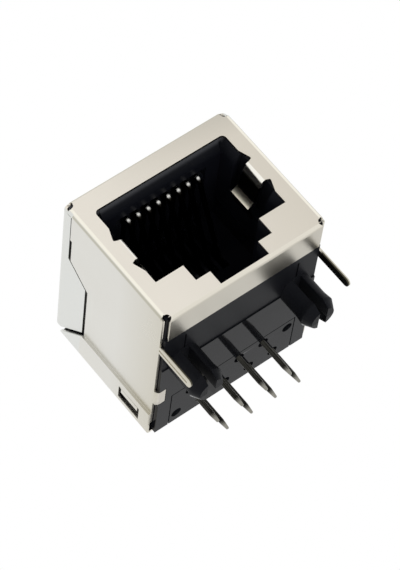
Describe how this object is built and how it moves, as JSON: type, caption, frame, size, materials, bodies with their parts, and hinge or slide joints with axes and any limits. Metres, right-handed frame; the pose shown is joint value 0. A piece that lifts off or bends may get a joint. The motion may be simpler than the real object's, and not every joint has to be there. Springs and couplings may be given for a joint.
{
  "type": "rj45 board jack",
  "caption": "Shielded modular jack for a circuit board: folded metal shell, black housing, plug mouth with latch slot, split pegs, solder tails and staggered pins.",
  "frame": {"origin": "on the board surface, midway between the two locating pegs", "axes": "+Z away from the board, the mouth faces -Y, X along the row of contacts"},
  "size_m": [0.0168, 0.018, 0.0171],
  "materials": {
    "nickel": "satin nickel plate on folded sheet",
    "black_moulding": "black moulding, smooth underside",
    "black_insert": "black moulding, smooth underside",
    "tinned_wire": "plated round wire"
  },
  "bodies": {
    "root": {"shield": "nickel", "housing": "black_moulding", "carrier": "black_insert", "contact_1": "tinned_wire", "contact_2": "tinned_wire", "contact_3": "tinned_wire", "contact_4": "tinned_wire", "contact_5": "tinned_wire", "contact_6": "tinned_wire", "contact_7": "tinned_wire", "contact_8": "tinned_wire"}
  },
  "joints": []
}
